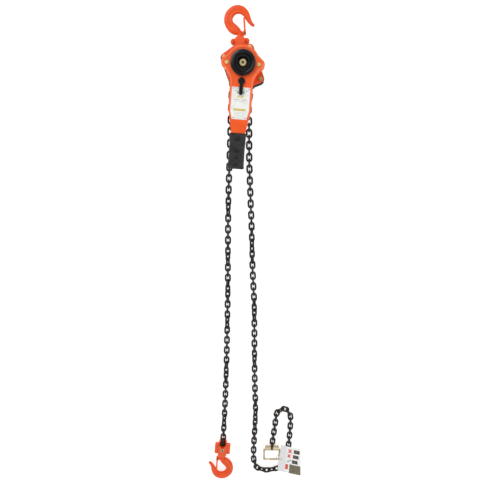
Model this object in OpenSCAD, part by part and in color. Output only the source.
// Lever chain hoist lying on its back: body, ratchet lever, load chain with hooks, slack chain with end ring.
// Origin: middle of the gear cover's flat back, under the drive axis. +Z runs along the drive axis to the
// hand wheel, +Y towards the top hook.

/* [Chain] */
// Diameter of the chain wire
wire_d = 6; // [5.8:0.1:6.1]
// Inner length of one link, which is the chain's pitch
pitch = 18; // [17.9:0.1:18.2]
// Inner width of one link
link_gap = 8.2; // [8:0.1:8.6]
// Links in the load strand, from the sheave to the load hook
load_links = 71; // [71:2:71]
// Links in the slack strand, from the sheave to the end ring
slack_links = 102; // [102:2:102]

/* [Body] */
// Thickness of each side plate
plate_t = 4; // [3.5:0.5:4]
// Free width between the side plates
frame_gap = 32; // [31:0.5:32]
// Depth of the gear cover behind the side plates
gear_cover_h = 26; // [26:0.5:27]
// Depth of the brake cover in front of the side plates
brake_cover_h = 24; // [24:0.5:25]
// Radius of the brake cover's round dome
dome_r = 46.5; // [46:0.5:47]
// Radius of the rounded corners round the stay bolts
corner_r = 10; // [9:0.5:10.5]
// Diameter of the stay bolts
stay_d = 8; // [7:0.5:8]

/* [Lever] */
// Distance from the drive axis to the end of the grip
lever_reach = 287; // [283:1:290]
// Width of the lever's neck
neck_w = 64; // [62:1:65]
// Width of the lever's narrow end
tail_w = 40; // [39:1:41]
// Thickness of the lever's head
lever_t = 34; // [34:0.5:35]
// Wall of the pressed steel shells
shell_wall = 2.5; // [2:0.25:3]
// Length of the rubber grip
grip_l = 100; // [95:1:105]
// Width of the rubber grip
grip_w = 46; // [45:0.5:47]
// Diameter of the hand wheel
wheel_d = 69; // [66:1:70]

/* [Hooks] */
// Thickness of a hook across its plane
hook_t = 18; // [17:0.5:19]
// Turn of the top hook about the suspension pin, in degrees
top_tilt = 8; // [0:1:9]

/* [Gears] */
// Module of all the gears
gear_module = 1.5; // [1.5:0.1:1.5]
// Teeth on the drive shaft's pinion
pinion_teeth = 10; // [10:1:10]
// Teeth on the large idler gears
idler_teeth = 30; // [30:1:30]
// Teeth on the small idler pinions
small_teeth = 12; // [12:1:12]
// Teeth on the load gear
load_teeth = 28; // [28:1:28]

/* [Hidden] */
$fn = 48;

// Heights along the drive axis
z_gear_plate = gear_cover_h;
z_gap = z_gear_plate + plate_t;
z_sheave = z_gap + frame_gap / 2;
z_brake_plate = z_gap + frame_gap;
z_brake = z_brake_plate + plate_t;
z_cover_top = z_brake + brake_cover_h;
z_lever = z_cover_top + 1;
z_split = z_lever + lever_t / 2;
z_lever_top = z_lever + lever_t;
z_wheel = z_lever_top + 2;
wheel_h = 13;
z_change = z_lever + 8;
change_h = 8;

// Body outline: the stay bolts' corners, and two more where the chain leaves and by the suspension pin
stays = [[-55, 20], [51, -30], [14.5, 51]];
outline = [stays[0], [-17, -62], stays[1], stays[2], [-22, 47]];
suspension = [-12, 50];
cover_wall = 2.5;
running = 0.05;
gap = 0.4;

// Chain
bend_r = (link_gap + wire_d) / 2;
straight = pitch - link_gap;
chain_step = pitch - 0.15;
floor_z = 10.4;

// Round the sheave the chain hinges at the ends of the links that stand in its groove
sheave_pockets = 5;
link_turn = 180 / sheave_pockets;
seated_reach = chain_step + link_gap;
standing_reach = chain_step - link_gap;
seat_r = (standing_reach + seated_reach * cos(link_turn)) / (2 * sin(link_turn));
groove_r = (seated_reach + standing_reach * cos(link_turn)) / (2 * sin(link_turn));
first_seat = 180 - link_turn / 2;
leave_x = seat_r * cos(link_turn / 2) + seated_reach / 2 * sin(link_turn / 2);
leave_y = seat_r * sin(link_turn / 2) - seated_reach / 2 * cos(link_turn / 2);
// The strands start a little inside the last seated link, clear of it over the whole travel
strand_x = leave_x - 0.5;
strand_y = leave_y + 1.1 + link_gap / 2;

// Gear train
shaft_r = 7;
axis_gap = gear_module * (pinion_teeth + idler_teeth) / 2;
idler_angle = 125;
idler_at = axis_gap * [cos(idler_angle), sin(idler_angle)];
z_first_mesh = 9;
z_second_mesh = 17;
first_mesh_h = 6.5;
second_mesh_h = 6;
pressure_angle = 20;
addendum = 0.8;
dedendum = 1.15;
backlash_deg_mm = 0.12;

// Brake
ratchet_teeth = 16;
ratchet_root = 23.5;
ratchet_tip = 27;
pawl_reach = 39.5;
pawl_eye = 4.4;
pawl_lead = 36;
pawl_angles = [114, 294];
z_ratchet = z_brake + 7;
ratchet_h = 5;

// Change gear and selector
selector_y = -48;
change_teeth = 12;
change_tip = 26;
change_root = 21;
change_turn = 15;
selector_arm = 37;

// Lever
ear_x = 44.5;
ear_r = 15.5;
head_r = 46;
neck_y = -50;
waist_y = -122;
grip_y = -(lever_reach - grip_l);
tang_y = grip_y - 70;
tail_t = 22;
tang_w = 34;

// Yokes and hooks
yoke_t = 30;
lobe_x = 19;
lobe_r = 8;
shank_r = 7.5;
head_flange_r = 11;
hook_rise = 79;
load_hook_rise = 77;
bolt_r = 3.4;
load_bolt = [22, -1241, 15];
latch_open = [14.5, -37.5];
latch_tip = [15.4, 0.8];

// End ring: its frame turned with the chain's end
ring_at = [191.8, -1228, 10.5];
ring_turn = 4.5;
ring_w = 59;
ring_h = 43;
bar_r = 3;
bar_z = 5;
bar_y = -13;
barrel_r = 8.8;
barrel_y = -2;
barrel_l = 19;

// Tag: a card hung from the ring's right-hand bar by a wire loop
tag_wire_at = [26.5, -37.5];
tag_wire_r = 12;
tag_wire_z = 13.2;
tag_z = 21.4;
tag_t = 0.8;
tag_turn = -9.5;

// Chain routes over the floor, from the sheave outwards to the last link's far hinge
load_route = [
    [-strand_x, strand_y, z_sheave], [-strand_x, -60, z_sheave], [-28, -100, 40], [-27, -150, 24],
    [-25, -200, 13], [-23, -260, floor_z], [-19, -370, floor_z], [-12, -490, floor_z],
    [-6, -580, floor_z], [1, -680, floor_z], [5, -760, floor_z], [11, -870, floor_z],
    [15, -960, floor_z], [18, -1040, floor_z], [20, -1110, floor_z], [20.6, -1150, 12],
    [21.4, -1180, load_bolt[2]], [load_bolt[0], load_bolt[1] + 30, load_bolt[2]],
    [load_bolt[0], load_bolt[1] - bolt_r - 0.15, load_bolt[2]]
];
slack_route = [
    [strand_x, strand_y, z_sheave], [27.5, -48, z_sheave], [22.5, -84, 42], [23, -112, 34],
    [27.5, -142, 24], [29.5, -168, 18], [33, -206, 12], [37, -260, floor_z], [44, -320, floor_z],
    [53, -400, floor_z],
    [61, -465, floor_z], [68, -540, floor_z], [78, -630, floor_z], [89, -710, floor_z],
    [95, -780, floor_z], [105, -900, floor_z], [113, -990, floor_z], [121, -1060, floor_z],
    [125, -1100, floor_z], [127, -1155, floor_z], [128, -1200, floor_z], [130, -1255, floor_z],
    [134, -1292, floor_z], [147, -1313, floor_z], [170, -1319, floor_z], [200, -1315, floor_z],
    [229, -1303, floor_z], [245, -1276, floor_z], [249, -1225, floor_z], [248, -1150, floor_z],
    [247, -1117, floor_z], [243, -1097, floor_z], [232, -1083, floor_z], [217, -1079, floor_z],
    [203, -1085, floor_z], [196, -1101, floor_z], [195.5, -1124, floor_z], [195, -1150, floor_z],
    [193, -1180, floor_z], [191.8, -1205, floor_z], [ring_at[0], ring_at[1] - 7.7, ring_at[2]]
];
// Turn of the first of each pair of links about the chain, by distance along it
load_twist = [
    [0, 0], [368, 0], [462, 90], [530, 90], [622, 180], [640, 180], [732, 270], [750, 270], [841, 360],
    [916, 360], [1030, 450], [1100, 450], [1210, 540], [1270, 540]
];
slack_twist = [
    [0, 0], [462, 0], [600, 90], [690, 90], [800, 180], [860, 180], [960, 270], [1030, 270],
    [1210, 360], [1810, 360]
];
// How far the bend lies in the plane of the even links, by distance along the strand
load_share = [[0, 0], [1270, 0]];
slack_share = [[0, 0], [560, 0], [1240, 1]];

// ---- helpers -------------------------------------------------------------------------------------------

module at_z(z) {
    translate([0, 0, z])
        children();
}

module disc(r, h, z = 0) {
    translate([0, 0, z])
        cylinder(r = r, h = h);
}

module ring(outer, inner, h, z = 0) {
    translate([0, 0, z])
        difference() {
            cylinder(r = outer, h = h);
            translate([0, 0, -1])
                cylinder(r = inner, h = h + 2);
        }
}

module hexagon(across, h, bore = 0) {
    difference() {
        cylinder(d = across / cos(30), h = h, $fn = 6);
        if (bore > 0)
            translate([0, 0, -1])
                cylinder(r = bore, h = h + 2);
    }
}

// A strip between two round ends, tangent to both
module strap(a, b, ra, rb) {
    d = norm(b - a);
    turn = atan2(b[1] - a[1], b[0] - a[0]);
    lean = acos((ra - rb) / d);
    translate(a)
        circle(ra);
    translate(b)
        circle(rb);
    translate(a)
        rotate(turn)
            polygon([
                ra * [cos(lean), sin(lean)], ra * [cos(lean), -sin(lean)],
                [d, 0] + rb * [cos(lean), -sin(lean)], [d, 0] + rb * [cos(lean), sin(lean)]
            ]);
}

// A plate outline with a round corner at every point, which run anticlockwise
module rounded(points, r) {
    n = len(points);
    polygon([
        for (i = [0:n - 1])
            let (a = points[i], b = points[(i + 1) % n], d = (b - a) / norm(b - a), out = r * [d[1], -d[0]])
            each [a + out, b + out]
    ]);
    for (p = points)
        translate(p)
            circle(r);
}

module body_outline(grow = 0) {
    rounded(outline, corner_r + grow);
    circle(dome_r + grow);
}

module at_stays() {
    for (p = stays)
        translate(p)
            children();
}

// ---- chain ---------------------------------------------------------------------------------------------

// One link with its length along X and its width along Y
module link() {
    for (side = [0, 180])
        rotate(side) {
            translate([straight / 2, 0, 0])
                rotate(-90)
                    rotate_extrude(angle = 180, $fn = 32)
                        translate([bend_r, 0])
                            circle(d = wire_d, $fn = 20);
            translate([-straight / 2, bend_r, 0])
                rotate([0, 90, 0])
                    cylinder(d = wire_d, h = straight, $fn = 20);
        }
}

// A link whose bearing ends lie at a and b, turned about the chain
module link_between(a, b, turn) {
    d = b - a;
    translate((a + b) / 2)
        rotate([0, -atan2(d[2], norm([d[0], d[1]])), atan2(d[1], d[0])])
            rotate([turn, 0, 0])
                link();
}

function trimmed(p) = [
    p[0],
    for (i = [0:len(p) - 2]) each [0.75 * p[i] + 0.25 * p[i + 1], 0.25 * p[i] + 0.75 * p[i + 1]],
    p[len(p) - 1]
];
function sums(p) = [
    for (i = 0, s = 0; i < len(p); s = s + (i < len(p) - 1 ? norm(p[i + 1] - p[i]) : 0), i = i + 1) s
];
function on_route(p, s, at) = [for (k = [0:2]) lookup(at, [for (i = [0:len(p) - 1]) [s[i], p[i][k]]])];

// Links turn about each other at the end curves of the link that lies in the plane of the bend: where share
// is 1 every even link counts as short and every odd one as long
function link_reach(i, s, share) = chain_step + (2 * (i % 2) - 1) * link_gap * lookup(s, share);
function stations(share, count) = [
    for (i = 0, s = 0; i <= count; s = s + link_reach(i, s, share), i = i + 1) s
];

module chain(route, twist, share, count) {
    p = trimmed(trimmed(route));
    s = sums(p);
    ends = stations(share, count);
    fit = s[len(s) - 1] / ends[count];
    for (i = [0:count - 1])
        link_between(on_route(p, s, fit * ends[i]), on_route(p, s, fit * ends[i + 1]),
            90 * (i % 2) + lookup(ends[i], twist));
}

module load_chain() {
    color("#3a3634")
        chain(load_route, load_twist, load_share, load_links);
}

module slack_chain() {
    color("#3a3634")
        chain(slack_route, slack_twist, slack_share, slack_links);
}

// The links that lie round the sheave, every other one seated in a pocket
module sheave_chain() {
    color("#3a3634")
        for (i = [0:4])
            rotate(first_seat - i * link_turn)
                translate([i % 2 == 0 ? seat_r : groove_r, 0, z_sheave])
                    rotate([90 * ((i + 1) % 2), 0, 90])
                        link();
}

// ---- gears ---------------------------------------------------------------------------------------------

function involute(a) = tan(a) * 180 / PI - a;
function half_tooth(teeth, r) =
    let (pitch_r = gear_module * teeth / 2, base_r = pitch_r * cos(pressure_angle))
    90 / teeth - backlash_deg_mm * 90 / (PI * pitch_r) + involute(pressure_angle)
        - involute(acos(min(1, base_r / r)));
function flank(teeth) =
    let (pitch_r = gear_module * teeth / 2, low = pitch_r - dedendum * gear_module,
        high = pitch_r + addendum * gear_module)
    [for (k = [0:4]) low + (high - low) * k / 4];
function gear_points(teeth) = [
    for (i = [0:teeth - 1], side = [-1, 1], k = [0:4])
        let (r = flank(teeth)[side < 0 ? k : 4 - k], a = 360 * i / teeth + side * half_tooth(teeth, r))
        r * [cos(a), sin(a)]
];

module gear(teeth, h, turn) {
    rotate(turn)
        linear_extrude(h)
            polygon(gear_points(teeth));
}

module drive_shaft() {
    color("silver") {
        at_z(z_first_mesh)
            gear(pinion_teeth, first_mesh_h, idler_angle);
        disc(4.5, z_first_mesh, 3.3);
        disc(5.3, z_gap, z_first_mesh + 1);
        disc(shaft_r, z_brake + 1 - z_gap, z_gap);
        disc(5.5, z_wheel + 1 - z_brake, z_brake + 1);
    }
}

// A large gear and a small pinion on one short shaft
module idler(turn) {
    color("gray") {
        gear(idler_teeth, first_mesh_h, turn + 180 + 180 / idler_teeth);
        at_z(z_second_mesh - z_first_mesh)
            gear(small_teeth, second_mesh_h, turn + 180 + 180 / small_teeth);
        disc(4, z_gap - 0.2 - 3.5, 3.5 - z_first_mesh);
        disc(6, z_second_mesh - z_first_mesh);
    }
}

module idler_gear_a() {
    translate([idler_at[0], idler_at[1], z_first_mesh])
        idler(idler_angle);
}

module idler_gear_b() {
    translate([-idler_at[0], -idler_at[1], z_first_mesh])
        idler(idler_angle + 180);
}

module load_gear() {
    color("gray")
        difference() {
            at_z(z_second_mesh)
                gear(load_teeth, second_mesh_h, idler_angle);
            disc(9.5, second_mesh_h + 2, z_second_mesh - 1);
        }
}

// ---- load sheave ---------------------------------------------------------------------------------------

sheave_r = 25.2;
hub_r = 12;
sheave_w = 27;
bore_r = shaft_r + running;
pocket_l = pitch + 2 * wire_d + 2 * gap;
pocket_w = link_gap + 2 * wire_d + 2 * gap;

module pocket() {
    translate([seat_r - wire_d / 2 - gap, 0, z_sheave])
        rotate([0, 90, 0])
            linear_extrude(20)
                for (side = [-1, 1]) {
                    translate([0, side * (pocket_l - pocket_w) / 2])
                        circle(d = pocket_w);
                    square([pocket_w, pocket_l - pocket_w], center = true);
                }
}

module load_sheave() {
    color("dimgray")
        difference() {
            union() {
                disc(sheave_r, sheave_w, z_sheave - sheave_w / 2);
                disc(hub_r, z_brake - 0.5 - z_gear_plate + 1.5, z_gear_plate - 1.5);
                disc(9.5, z_gear_plate - 1.5 - z_second_mesh, z_second_mesh);
            }
            disc(bore_r, z_brake, z_second_mesh - 1);
            translate([0, 0, z_sheave])
                rotate_extrude()
                    translate([groove_r - bend_r - wire_d / 2 - 3 * gap, -wire_d / 2 - gap])
                        square([30, wire_d + 2 * gap]);
            for (i = [0:sheave_pockets - 1])
                rotate(90 + i * 360 / sheave_pockets)
                    pocket();
        }
}

// ---- body ----------------------------------------------------------------------------------------------

// The gear cover's deep part: round the shaft and round both idler gears
module gear_dome(grow = 0) {
    for (side = [-1, 1])
        strap([0, 0], side * idler_at, 32 + grow, 27.5 + grow);
}

module gear_cover() {
    flange_z = gear_cover_h - 5;
    color("#2a2829")
        difference() {
            union() {
                linear_extrude(gear_cover_h)
                    gear_dome();
                at_z(flange_z)
                    linear_extrude(5)
                        body_outline();
            }
            at_z(3)
                linear_extrude(gear_cover_h)
                    gear_dome(-2.5);
            at_stays()
                disc(stay_d / 2 + 0.3, 20, flange_z - 1);
        }
    color("#2a2829") {
        // seats for the shaft's bearing and the idlers' shafts
        ring(11, 8, 4, 2.8);
        for (side = [-1, 1])
            translate(side * idler_at)
                ring(8, 4 + running, 5, 2.8);
    }
}

module shaft_bearing() {
    color("silver")
        ring(8 - 0.01, 4.5 + running, 3.5, 3.1);
}

module side_plate() {
    linear_extrude(plate_t)
        difference() {
            body_outline(1.6);
            circle(16);
            at_stays()
                circle(stay_d / 2 + 0.2);
            translate(suspension)
                circle(7);
        }
}

module gear_side_plate() {
    color("#222222")
        difference() {
            at_z(z_gear_plate)
                side_plate();
            for (side = [-1, 1])
                translate(side * idler_at)
                    disc(4 + running, 10, z_gear_plate - 1);
        }
}

module brake_side_plate() {
    color("#222222")
        difference() {
            at_z(z_brake_plate)
                side_plate();
            at_pawls()
                disc(3, 10, z_brake_plate - 1);
        }
}

module sheave_bearings() {
    color("silver") {
        ring(16, hub_r + running, plate_t, z_gear_plate);
        ring(16, hub_r + running, plate_t, z_brake_plate);
    }
}

module brake_cover() {
    flange_h = 7;
    bowl_h = brake_cover_h - cover_wall;
    color("orangered")
        difference() {
            union() {
                at_z(z_brake)
                    linear_extrude(flange_h)
                        body_outline();
                disc(dome_r - 1, brake_cover_h - 3, z_brake);
                disc(dome_r - 4, brake_cover_h, z_brake);
                // raised bridge over the suspension pin
                at_z(z_brake)
                    linear_extrude(14) {
                        strap([-13, 43.5], [0, 0], 15, 30);
                        strap([-20, 46], [-2, 47], 9, 9);
                    }
            }
            disc(dome_r - 2.4, bowl_h - 3, z_brake - 1);
            disc(dome_r - 6.5, bowl_h + 1, z_brake - 1);
            disc(18, 20, z_cover_top - 10);
            at_stays()
                disc(stay_d / 2 + 0.3, 20, z_brake - 1);
        }
}

// The sleeve that the lever's back shell turns on
module lever_bush() {
    color("silver")
        difference() {
            union() {
                disc(18, cover_wall, z_cover_top - cover_wall);
                disc(16, cover_wall + 6, z_cover_top - cover_wall);
            }
            disc(14.2, 20, z_cover_top - 10);
        }
}

module stay_bolts() {
    color("silver")
        at_stays()
            disc(stay_d / 2, z_brake + 3, 14);
}

module stay_spacers() {
    color("silver")
        at_stays()
            ring(6.5, stay_d / 2 + 0.1, frame_gap, z_gap);
}

module front_nuts() {
    color("#c9b26a")
        at_stays() {
            at_z(z_brake + 7)
                hexagon(11, 8, stay_d / 2);
        }
}

module rear_nuts() {
    color("#c9b26a")
        at_stays()
            at_z(gear_cover_h - 5 - 5.5)
                hexagon(11, 5.5, stay_d / 2);
}

module suspension_pin() {
    color("silver")
        translate(suspension)
            disc(7, z_brake - z_gear_plate, z_gear_plate);
}

// Guards that keep each strand in the sheave's pockets, fixed between the side plates
module chain_guide() {
    color("#222222")
        at_z(z_gap)
            linear_extrude(frame_gap)
                for (side = [-1, 1])
                    difference() {
                        strap([side * 46, -5], [side * 44.5, -17], 3, 3);
                        circle(41);
                    }
}

// The wedge between the strands that lifts the links out of the sheave's pockets
module chain_stripper() {
    color("#222222")
        at_z(z_gap)
            linear_extrude(frame_gap)
                strap([0, -39], [0, -46], 4, 7);
}

// ---- brake ---------------------------------------------------------------------------------------------

module at_pawls() {
    for (a = pawl_angles)
        rotate(a + pawl_lead)
            translate([pawl_reach, 0])
                children();
}

module pawl_pins() {
    color("silver")
        at_pawls()
            disc(3, z_ratchet + ratchet_h + 2 - z_brake_plate, z_brake_plate);
}

// Coils round each pawl pin, under the pawl
module pawl_springs() {
    color("silver")
        at_pawls()
            for (turn = [0:3])
                translate([0, 0, z_brake + 1.2 + turn * 1.3])
                    rotate_extrude()
                        translate([3.7, 0])
                            circle(0.6, $fn = 16);
}

// A pawl with its tip pointing clockwise into the ratchet's teeth
module brake_pawl(angle) {
    pivot = pawl_reach * [cos(pawl_lead), sin(pawl_lead)];
    color("dimgray")
        rotate(angle)
            at_z(z_ratchet)
                difference() {
                    linear_extrude(ratchet_h) {
                        translate(pivot)
                            circle(pawl_eye);
                        polygon([
                            [ratchet_root + 1, 0.5], [ratchet_root + 5.5, 0.5],
                            pivot + pawl_eye * [cos(-20), sin(-20)],
                            pivot + pawl_eye * [cos(160), sin(160)]
                        ]);
                    }
                    translate([pivot[0], pivot[1], -1])
                        cylinder(r = 3 + running, h = ratchet_h + 2);
                }
}

module brake_pawl_a() {
    brake_pawl(pawl_angles[0]);
}

module brake_pawl_b() {
    brake_pawl(pawl_angles[1]);
}

module ratchet_disc() {
    pitch_deg = 360 / ratchet_teeth;
    color("gray")
        at_z(z_ratchet)
            rotate(pawl_angles[0])
                linear_extrude(ratchet_h)
                    difference() {
                        polygon([
                            for (i = [0:ratchet_teeth - 1], k = [0, 1])
                                let (a = (i + k * 0.96) * pitch_deg)
                                (k == 0 ? ratchet_root : ratchet_tip) * [cos(a), sin(a)]
                        ]);
                        circle(13.1);
                    }
}

module friction_hub() {
    color("gray") {
        ring(22, 5.5, 4.8, z_brake + 1);
        ring(13, 5.5, z_ratchet + ratchet_h + 1 - z_brake - 1, z_brake + 1);
    }
}

module friction_discs() {
    color("#5b4a3a") {
        ring(22, 13.1, 1.1, z_ratchet - 1.15);
        ring(22, 13.1, 1.1, z_ratchet + ratchet_h + 0.05);
    }
}

module drive_hub() {
    low = z_ratchet + ratchet_h + 1.2;
    color("gray") {
        ring(22, 5.5, 3, low);
        ring(14, 5.5, z_change - low, low);
        ring(11, 5.5, z_wheel - low, low);
    }
}

// ---- lever ---------------------------------------------------------------------------------------------

module change_gear() {
    pitch_deg = 360 / change_teeth;
    color("gray")
        at_z(z_change)
            linear_extrude(change_h)
                difference() {
                    polygon([
                        for (i = [0:change_teeth - 1], k = [[-0.36, 0], [-0.16, 1], [0.16, 1], [0.36, 0]])
                            let (a = 270 + change_turn + (i + k[0]) * pitch_deg,
                                r = k[1] == 1 ? change_tip : change_root)
                            r * [cos(a), sin(a)]
                    ]);
                    circle(11);
                }
}

// Right-hand side of the lever's neck and tang, from the ear down
function lever_edge(inset) = [
    [ear_x + 8 - inset, -8], [neck_w / 2 + 4 - inset, -34], [neck_w / 2 - inset, neck_y],
    [neck_w / 2 - inset, waist_y], [tail_w / 2 + 6 - inset, waist_y - 30], [tail_w / 2 - inset, grip_y],
    [tang_w / 2 - inset, grip_y], [tang_w / 2 - inset, tang_y]
];

module lever_outline(inset = 0) {
    right = lever_edge(inset);
    circle(head_r - inset);
    for (side = [0, 1])
        mirror([side, 0])
            strap([ear_x, -1], [0, 8], ear_r - inset, 37 - inset);
    polygon([for (p = right) [-p[0], p[1]], for (i = [len(right) - 1:-1:0]) right[i]]);
}

// The lever's side view, extruded across it: full depth at the head, thin at the tail
module lever_side(grow = 0) {
    half = lever_t / 2 + grow;
    thin = tail_t / 2 + grow;
    translate([-100, 0, z_split])
        rotate([90, 0, 90])
            linear_extrude(200)
                polygon([
                    [80, -half], [80, half], [waist_y - 34, half], [grip_y + 4, thin], [tang_y - 5, thin],
                    [tang_y - 5, -thin], [grip_y + 4, -thin], [waist_y - 34, -half]
                ]);
}

module lever_solid() {
    intersection() {
        at_z(z_lever)
            linear_extrude(lever_t)
                lever_outline();
        lever_side();
    }
}

module lever_hollow() {
    intersection() {
        at_z(z_lever)
            linear_extrude(lever_t)
                lever_outline(shell_wall);
        lever_side(-shell_wall);
    }
}

module lever_shells(low, h) {
    difference() {
        intersection() {
            lever_solid();
            translate([-80, -350, low])
                cube([160, 500, h]);
        }
        lever_hollow();
        disc(12.5, 60, z_split);
        disc(16.1, 30, z_lever - 10);
        translate([0, selector_y, z_lever - 1])
            cylinder(r = 5.1, h = 60);
        at_lever_bolts()
            disc(3.05, 60, z_lever - 5);
    }
}

module at_lever_bolts() {
    for (p = [[-ear_x, -1], [ear_x, -1]])
        translate(p)
            children();
}

module lever_front_shell() {
    color("orangered")
        lever_shells(z_split + 0.05, 60);
}

module lever_back_shell() {
    color("orangered")
        lever_shells(z_lever - 10, z_split - z_lever + 9.95);
}

module lever_bolts() {
    color("#c9b26a")
        at_lever_bolts() {
            disc(3, lever_t + 3, z_lever);
            disc(5.2, 3, z_lever_top);
        }
}

module lever_nuts() {
    color("#c9b26a")
        at_lever_bolts()
            at_z(z_lever + shell_wall)
                hexagon(10, 5, 3);
}

module lever_grip() {
    deep = 29;
    color("#202020")
        difference() {
            translate([0, grip_y, z_split])
                rotate([90, 0, 0])
                    linear_extrude(grip_l) {
                        square([grip_w - 16, deep], center = true);
                        square([grip_w, deep - 16], center = true);
                        for (x = [-1, 1], y = [-1, 1])
                            translate([x * (grip_w / 2 - 8), y * (deep / 2 - 8)])
                                circle(8);
                    }
            translate([-tang_w / 2 - 0.05, tang_y - 0.05, z_split - tail_t / 2 - 0.05])
                cube([tang_w + 0.1, grip_l, tail_t + 0.1]);
        }
}

module name_plate() {
    color("whitesmoke")
        at_z(z_lever_top)
            linear_extrude(0.8)
                difference() {
                    polygon([
                        [-25.5, -64], [25.5, -64], [26, -127], [20.5, -150], [-20.5, -150], [-26, -127]
                    ]);
                    for (p = plate_rivet_at)
                        translate(p)
                            circle(1.2);
                }
}
plate_rivet_at = [[-22, -68], [22, -68], [-17, -146], [17, -146]];

module plate_rivets() {
    color("silver")
        for (p = plate_rivet_at)
            translate([p[0], p[1], z_lever_top]) {
                disc(1.2, 0.8);
                disc(2, 0.6, 0.8);
            }
}

// Holds the selector in its three positions
module detent_spring() {
    color("silver")
        translate([0, selector_y, z_lever + shell_wall])
            ring(9, 6, 1.2);
}

module selector_lever() {
    color("#1c1c1c") {
        translate([0, selector_y, z_lever + 0.3]) {
            cylinder(r = 5, h = lever_t + 2);
            disc(9.4, 5.5, lever_t + 1);
            translate([0, 0, lever_t + 6.5])
                cylinder(r1 = 8, r2 = 5.5, h = 1.6);
        }
        translate([0, selector_y, z_lever_top + 3])
            linear_extrude(4)
                strap([0, 0], [0, -selector_arm + 5], 4.2, 4.8);
        translate([0, selector_y - selector_arm + 5.2, z_lever_top + 3])
            linear_extrude(6.5)
                strap([0, 0], [0, 15.5], 5.2, 5.2);
    }
}

// A pawl with two hooked fingers, one for each direction of drive
module change_pawl() {
    color("dimgray")
        translate([0, selector_y, z_change])
            linear_extrude(change_h)
                difference() {
                    union() {
                        circle(8.5);
                        for (side = [0, 1])
                            mirror([side, 0]) {
                                strap([0, 0], finger(27, 59), 6.5, 3.2);
                                strap(finger(27, 59), finger(30, 42.3), 3.2, 1.7);
                            }
                    }
                    circle(5);
                }
}
function finger(r, a) = r * [sin(a), cos(a)];

module hand_wheel() {
    wheel_r = wheel_d / 2;
    color("#141414")
        at_z(z_wheel)
            difference() {
                rotate_extrude()
                    polygon([
                        [5.6, 0.15], [11.05, 0.15], [11.05, -1], [20, -1], [20, 1], [wheel_r - 5, 1],
                        [wheel_r - 2, 0], [wheel_r, 2], [wheel_r, 8], [wheel_r - 2, 10.5],
                        [wheel_r - 6, wheel_h - 1.5], [wheel_r - 9, wheel_h - 2],
                        [wheel_r - 11, wheel_h - 3.5], [22, wheel_h - 2.5], [20, wheel_h], [16, wheel_h],
                        [14.3, wheel_h - 2], [13, 3], [12, 2], [5.6, 2]
                    ]);
                // grip windows through the rim
                for (turn = [-114, -90, -66])
                    rotate(turn)
                        translate([wheel_r - 5, 0, -2])
                            linear_extrude(wheel_h + 4)
                                strap([0, -3.6], [0, 3.6], 1.2, 1.2);
            }
}

module wheel_screw() {
    color("#c9b26a")
        difference() {
            union() {
                disc(9, 2.4, z_wheel + 2.1);
                disc(7, 5.4, z_wheel + 2.1);
            }
            for (turn = [0, 90])
                translate([0, 0, z_wheel + 7])
                    rotate(turn)
                        cube([8, 1.8, 4], center = true);
        }
}

// ---- hooks and yokes -----------------------------------------------------------------------------------

// Middle line of a forged hook from its neck to its tip: x, y from the bowl's centre, half width
hook_line = [
    [0, -53, 6.2], [0.2, -44, 6.4], [-1.1, -37, 8], [-4.7, -32.2, 10.8], [-11, -28.2, 13],
    [-18.8, -22.2, 14], [-26, -13.8, 13], [-29.9, -4.1, 12.4], [-29, 6, 12.4], [-25.4, 13.8, 12.3],
    [-19.4, 20.1, 12.2], [-12, 24.8, 12.1], [-4, 26.7, 11.9], [4, 26.3, 11.5], [11.6, 23.7, 10.9],
    [18.2, 18.1, 10.2], [23.6, 10.6, 9], [26.7, 2.6, 7.9], [29.5, -4.5, 6.5], [33.3, -10.8, 5.4],
    [37.5, -15.3, 4.7], [41.5, -18.6, 3.8]
];
hook_sides = 14;

function hook_ring(p, k) =
    let (here = p[k], d = p[min(k + 1, len(p) - 1)] - p[max(k - 1, 0)],
        out = [d[1], -d[0]] / norm([d[0], d[1]]), deep = min(hook_t / 2, 2.4 + 0.6 * here[2]))
    [
        for (i = [0:hook_sides - 1])
            let (u = here[2] * cos(360 * i / hook_sides), v = deep * sin(360 * i / hook_sides))
            [here[0] + u * out[0], here[1] + u * out[1], v]
    ];

// A hook whose bowl is centred at the origin and whose neck points to -Y
module hook_body() {
    line = trimmed(hook_line);
    n = hook_sides;
    last = len(line) - 1;
    polyhedron(
        points = [for (k = [0:last]) each hook_ring(line, k)],
        faces = [
            [for (i = [n - 1:-1:0]) i],
            for (k = [0:last - 1], i = [0:n - 1])
                each [
                    [k * n + i, (k + 1) * n + (i + 1) % n, (k + 1) * n + i],
                    [k * n + i, k * n + (i + 1) % n, (k + 1) * n + (i + 1) % n]
                ],
            [for (i = [0:n - 1]) last * n + i]
        ]);
}

// A hook with its shank, its swivel flange and its latch lug; the yoke's pivot is at the origin
module hook(rise, flange_at) {
    color("orangered")
        difference() {
            union() {
                translate([0, rise, 0])
                    hook_body();
                rotate([-90, 0, 0]) {
                    disc(shank_r, rise - 49 - flange_at, flange_at);
                    disc(head_flange_r, 5, flange_at);
                }
                translate([latch_open[0], rise + latch_open[1], -4])
                    linear_extrude(8) {
                        circle(4.5);
                        polygon([[0.5, -4.2], [0.5, 4.2], [-11.5, 5.5], [-11.5, -6]]);
                    }
            }
            translate([latch_open[0], rise + latch_open[1], -10])
                cylinder(r = 2, h = 20);
        }
}

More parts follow.
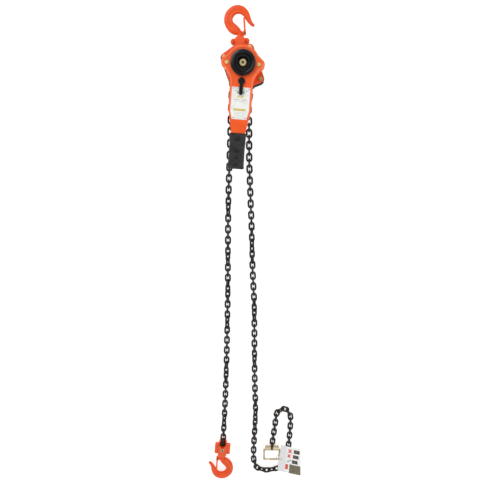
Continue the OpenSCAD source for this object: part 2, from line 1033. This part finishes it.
// The sprung tongue that closes a hook's mouth
module latch(rise) {
    color("orangered")
        translate([latch_open[0], rise + latch_open[1], 0])
            difference() {
                union() {
                    for (side = [-1, 1])
                        translate([0, 0, side * 5.4 - 1])
                            linear_extrude(2)
                                strap([0, 0], [1.2, 9], 4.5, 2.6);
                    translate([0, 0, -6.4])
                        linear_extrude(12.8)
                            strap([1.2, 9], latch_tip - latch_open, 2.3, 2.7);
                }
                translate([0, 0, -10])
                    cylinder(r = 2 + running, h = 20);
            }
}

module latch_pin(rise) {
    color("silver")
        translate([latch_open[0], rise + latch_open[1], -7.2]) {
            cylinder(r = 2, h = 14.4);
            for (z = [-0.8, 14.4])
                disc(2.6, 0.8, z);
        }
}

// One half of a yoke, on the side that z_side names; the halves meet on the hook's plane
module yoke_half(z_side, eye, flange_at, top) {
    color("orangered")
        mirror([0, 0, z_side < 0 ? 1 : 0])
            difference() {
                union() {
                    at_z(0.05)
                        linear_extrude(yoke_t / 2 - 0.05)
                            children(0);
                    at_z(0.05)
                        linear_extrude(6)
                            children(1);
                }
                rotate([-90, 0, 0]) {
                    disc(shank_r + 0.3, 60, flange_at);
                    disc(head_flange_r + 0.3, 5.6, flange_at - 0.3);
                }
                disc(eye, 40, -20);
                for (x = [-lobe_x, lobe_x])
                    translate([x, top, -20])
                        cylinder(r = 3, h = 40);
            }
}

module yoke_rivets(level) {
    color("orangered")
        for (x = [-lobe_x, lobe_x])
            translate([x, level, 0]) {
                disc(3, 12.1, -6.05);
                for (side = [0, 1])
                    mirror([0, 0, side])
                        at_z(6.05)
                            intersection() {
                                translate([0, 0, -2.5])
                                    sphere(5.3);
                                disc(7, 10);
                            }
            }
}

module top_place() {
    translate([suspension[0], suspension[1], z_sheave])
        rotate(top_tilt)
            children();
}

module top_block() {
    circle(11);
    polygon([[-11, 0], [11, 0], [14, 6], [14, 25], [10.5, 31], [-10.5, 31], [-14, 25], [-14, 6]]);
}

module top_lobes() {
    for (x = [-lobe_x, lobe_x])
        strap([x, lobe_level], [x * 0.4, lobe_level], lobe_r, lobe_r - 1);
}
lobe_level = 20;
top_flange = 13;
load_flange = 11.2;

module top_yoke_front() {
    top_place()
        yoke_half(1, 7 + running, top_flange, lobe_level) {
            top_block();
            top_lobes();
        }
}

module top_yoke_back() {
    top_place()
        yoke_half(-1, 7 + running, top_flange, lobe_level) {
            top_block();
            top_lobes();
        }
}

module top_yoke_rivets() {
    top_place()
        yoke_rivets(lobe_level);
}

module top_hook() {
    top_place()
        hook(hook_rise, top_flange);
}

module top_latch() {
    top_place()
        latch(hook_rise);
}

module top_latch_pin() {
    top_place()
        latch_pin(hook_rise);
}

// The load hook's own frame: chain bolt at the origin, hook towards +Y before it is turned over
module load_place() {
    translate(load_bolt)
        rotate(180)
            children();
}

module load_block() {
    polygon([
        [-13, -20], [-9, -27], [-3, -30], [3, -30], [9, -27], [13, -20], [14, -9], [14, 18], [10, 27],
        [-10, 27], [-14, 18], [-14, -9]
    ]);
}

module load_lobes() {
    for (x = [-1, 1], y = [-13.3, 15])
        strap([x * 23, y], [x * 12, y], 3.2, 3.2);
    translate([0, 0.85])
        square([52.4, 28.3], center = true);
}

// The slot for the last link and the one before it, wider at its mouth so that the yoke can swing
module link_slot() {
    translate([0, 0, -wire_d / 2 - 0.8])
        linear_extrude(wire_d + 1.6) {
            strap([0, 0], [0, -4], 11, 11);
            polygon([[-15.5, -34], [15.5, -34], [11, 0], [-11, 0]]);
        }
    // room for the standing link in front of the back wall, wider away from the bolt for the swing
    at_z(-load_back)
        linear_extrude(yoke_t)
            polygon([[-9, -34], [9, -34], [5.2, -7.5], [-5.2, -7.5]]);
}
load_back = 11.8;

module load_yoke(side) {
    load_place()
        difference() {
            yoke_half(side, bolt_r, load_flange, 0) {
                load_block();
                load_lobes();
            }
            link_slot();
            // the front half is cut back where the chain comes in
            if (side > 0)
                translate([0, -21, 0])
                    cylinder(r = 11.5, h = yoke_t);
        }
}

module load_yoke_front() {
    load_yoke(1);
}

module load_yoke_back() {
    load_yoke(-1);
}

module load_yoke_rivets() {
    load_place()
        for (x = [-lobe_x, lobe_x])
            translate([x, 0, 0])
                disc(3, 12, -6);
}

module chain_bolt() {
    color("#8f8a78")
        load_place() {
            disc(bolt_r, yoke_t, -yoke_t / 2);
            difference() {
                disc(5.6, 2.5, yoke_t / 2);
                at_z(yoke_t / 2 + 1)
                    cylinder(d = 6, h = 3, $fn = 6);
            }
        }
}

module load_hook() {
    load_place()
        hook(load_hook_rise, load_flange);
}

module load_latch() {
    load_place()
        latch(load_hook_rise);
}

module load_latch_pin() {
    load_place()
        latch_pin(load_hook_rise);
}

// ---- slack end -----------------------------------------------------------------------------------------

module ring_place() {
    translate(ring_at)
        rotate(ring_turn)
            children();
}

module rod(a, b, r) {
    d = b - a;
    translate(a)
        rotate([0, 90, atan2(d[1], d[0])])
            cylinder(r = r, h = norm(d));
}

// A stopper ring: a split barrel on the last link and a flat frame below it
module end_ring() {
    slot = wire_d + 1.4;
    low = bar_z - ring_at[2];
    w = ring_w / 2 - bar_r;
    end_y = bar_y - ring_h + 2 * bar_r;
    color("#c9b26a")
        ring_place()
            difference() {
                union() {
                    for (side = [-1, 1]) {
                        translate([side * (slot + barrel_l) / 2, barrel_y, 0])
                            rotate([0, 90, 0])
                                cylinder(r = barrel_r, h = barrel_l, center = true);
                        // web from the barrel to the frame's top bar
                        translate([side * (slot + barrel_l) / 2 - barrel_l / 2 + 1.5, bar_y, low - bar_r])
                            cube([barrel_l - 3, -bar_y - 5, 2 * bar_r]);
                    }
                    rod([-w, bar_y, low], [w, bar_y, low], bar_r);
                    rod([-w, end_y, low], [w, end_y, low], bar_r);
                    for (x = [-w, w]) {
                        rod([x, end_y, low], [x, bar_y, low], bar_r);
                        for (y = [bar_y, end_y])
                            translate([x, y, low])
                                sphere(bar_r);
                    }
                }
                translate([-30, 0, 0])
                    rotate([0, 90, 0])
                        cylinder(r = 3.4, h = 60);
            }
}

module ring_pin() {
    color("#c9b26a")
        ring_place()
            translate([-23.5, 0, 0])
                rotate([0, 90, 0])
                    cylinder(r = 3.4, h = 47);
}

// A closed wire loop round the ring's right-hand bar
module tag_wire() {
    color("silver")
        ring_place()
            translate([tag_wire_at[0], tag_wire_at[1], tag_wire_z - ring_at[2]])
                rotate([90, 0, 0])
                    rotate_extrude()
                        translate([tag_wire_r, 0])
                            circle(0.6, $fn = 12);
}

// The card; its hole lies where the loop passes down through it
module chain_tag() {
    rise = tag_z + tag_t / 2 - tag_wire_z;
    color("whitesmoke")
        ring_place()
            translate([tag_wire_at[0] + sqrt(tag_wire_r * tag_wire_r - rise * rise), tag_wire_at[1],
                    tag_z - ring_at[2]])
                rotate(tag_turn - ring_turn)
                    linear_extrude(tag_t)
                        difference() {
                            polygon([[-5, -46.5], [78, -45], [52, 50.5], [-16.6, 50.5]]);
                            circle(2.2);
                        }
}

gear_cover();
gear_side_plate();
brake_side_plate();
brake_cover();
stay_bolts();
stay_spacers();
front_nuts();
rear_nuts();
chain_guide();
chain_stripper();
suspension_pin();
sheave_bearings();
shaft_bearing();
pawl_pins();
pawl_springs();
lever_bush();
brake_pawl_a();
brake_pawl_b();
ratchet_disc();
load_sheave();
load_gear();
sheave_chain();
idler_gear_a();
idler_gear_b();
drive_shaft();
friction_hub();
friction_discs();
drive_hub();
change_gear();
hand_wheel();
wheel_screw();
lever_front_shell();
lever_back_shell();
lever_bolts();
lever_nuts();
lever_grip();
name_plate();
plate_rivets();
detent_spring();
selector_lever();
change_pawl();
top_yoke_front();
top_yoke_back();
top_yoke_rivets();
top_hook();
top_latch();
top_latch_pin();
load_chain();
load_yoke_front();
load_yoke_back();
load_yoke_rivets();
chain_bolt();
load_hook();
load_latch();
load_latch_pin();
slack_chain();
end_ring();
ring_pin();
chain_tag();
tag_wire();
